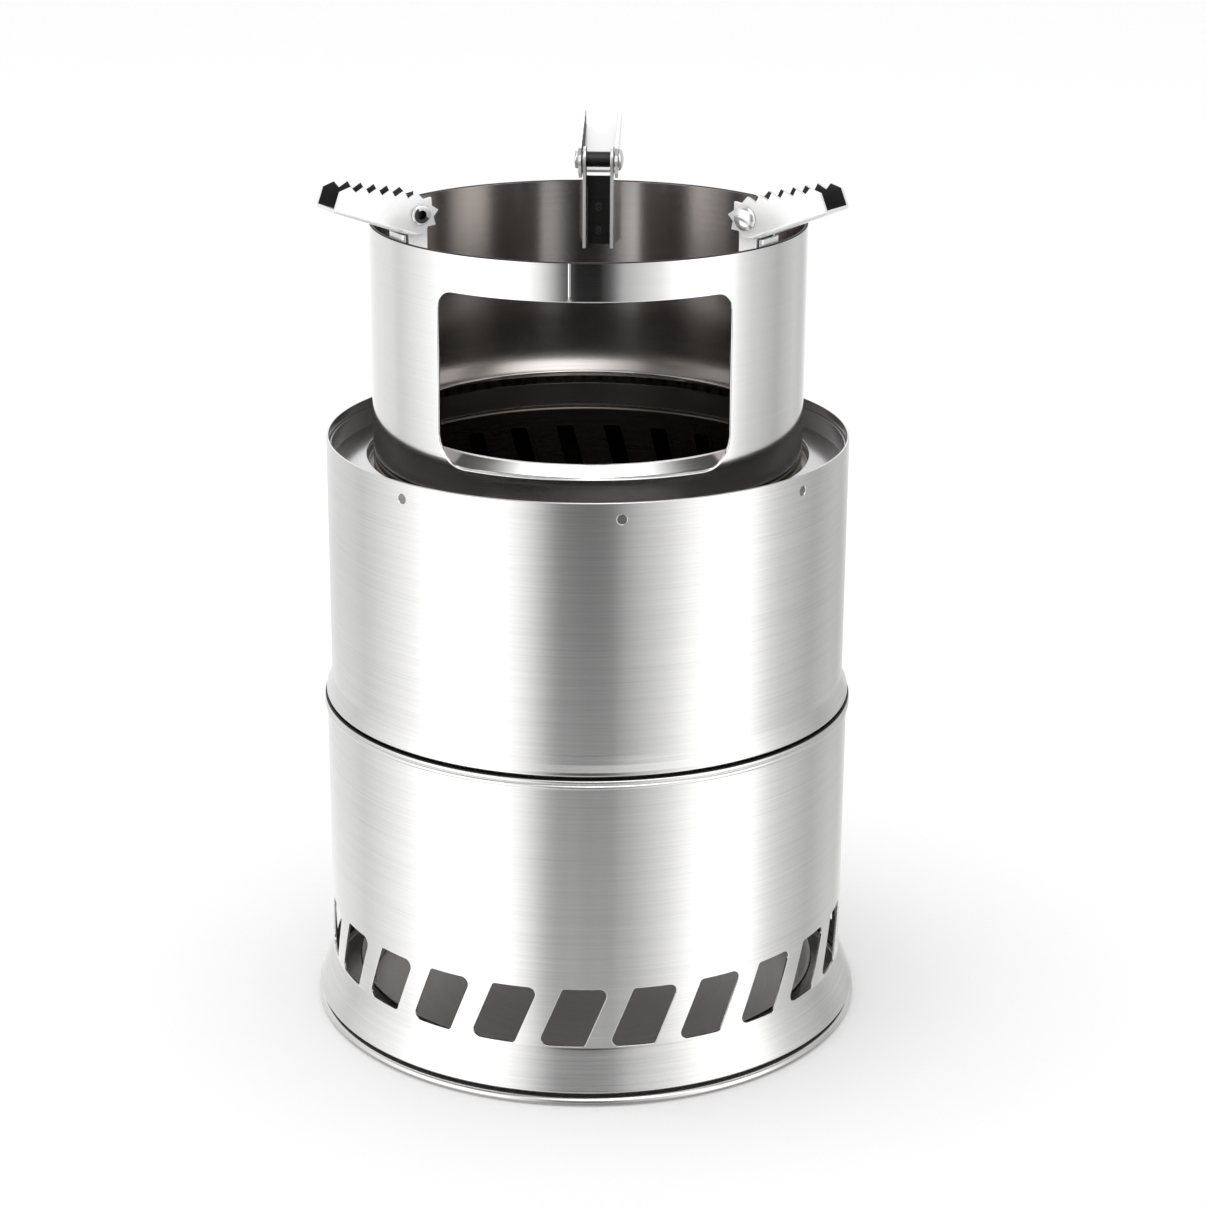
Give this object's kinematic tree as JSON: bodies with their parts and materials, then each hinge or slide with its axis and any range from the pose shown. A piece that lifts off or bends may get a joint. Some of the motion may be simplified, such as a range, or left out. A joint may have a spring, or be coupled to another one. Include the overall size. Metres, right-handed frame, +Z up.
{
  "type": "portable wood-burning camp stove",
  "caption": "Round stacking camp stove of sheet steel with a vented stand, a lift-off burner section, a lift-off ring with a feed window, and folding toothed pot arms.",
  "frame": {"origin": "centre of the base's flat underside, on the ground", "axes": "+Z up along the stove's axis; the feed window faces -Y; +X is to the right when looking at the window"},
  "size_m": [0.135, 0.135, 0.2109],
  "materials": {
    "shell_steel": "fine circumferential brushing",
    "ring_steel": "polished with faint brushing",
    "plate_steel": "bright rolled sheet",
    "pot_steel": "dull rolled sheet",
    "tray_steel": "dull rolled sheet",
    "arm_steel": "bright stamped sheet",
    "rivet_steel": "bright",
    "weld_steel": "dull pressed spot"
  },
  "bodies": {
    "stand": {"base_pan": "shell_steel", "lower_shell": "shell_steel"},
    "ash_tray": {"ash_tray": "tray_steel"},
    "burner": {"upper_shell": "shell_steel", "top_plate": "plate_steel", "fire_pot": "pot_steel", "shell_weld_spots": "weld_steel"},
    "grate": {"fire_grate": "pot_steel"},
    "ring": {"top_ring": "ring_steel", "ring_flange": "plate_steel", "bracket_left": "arm_steel", "bracket_right": "arm_steel", "bracket_back": "arm_steel", "bracket_weld_spots": "weld_steel", "pivot_left": "rivet_steel", "pivot_right": "rivet_steel", "pivot_back": "rivet_steel"},
    "arm_left": {"arm_left": "arm_steel"},
    "arm_right": {"arm_right": "arm_steel"},
    "arm_back": {"arm_back": "arm_steel"}
  },
  "joints": [
    {"name": "burner_lift", "type": "slide", "parent": "stand", "child": "burner", "axis": [0, 0, 1], "range_m": [0, 0.09]},
    {"name": "tray_lift", "type": "slide", "parent": "stand", "child": "ash_tray", "axis": [0, 0, 1], "range_m": [0, 0.07]},
    {"name": "grate_lift", "type": "slide", "parent": "burner", "child": "grate", "axis": [0, 0, 1], "range_m": [0, 0.055]},
    {"name": "ring_lift", "type": "slide", "parent": "burner", "child": "ring", "axis": [0, 0, 1], "range_m": [0, 0.08]},
    {"name": "arm_left_fold", "type": "hinge", "parent": "ring", "child": "arm_left", "pos_m": [-0.04001, -0.0231, 0.2014], "axis": [-0.5, 0.866, 0], "range_deg": [0, 245]},
    {"name": "arm_right_fold", "type": "hinge", "parent": "ring", "child": "arm_right", "pos_m": [0.03761, -0.02683, 0.2014], "axis": [-0.5807, -0.8141, 0], "range_deg": [-3, 242]},
    {"name": "arm_back_fold", "type": "hinge", "parent": "ring", "child": "arm_back", "pos_m": [0.00242, 0.04614, 0.2014], "axis": [0.9986, -0.0523, 0], "range_deg": [-7, 238]}
  ]
}
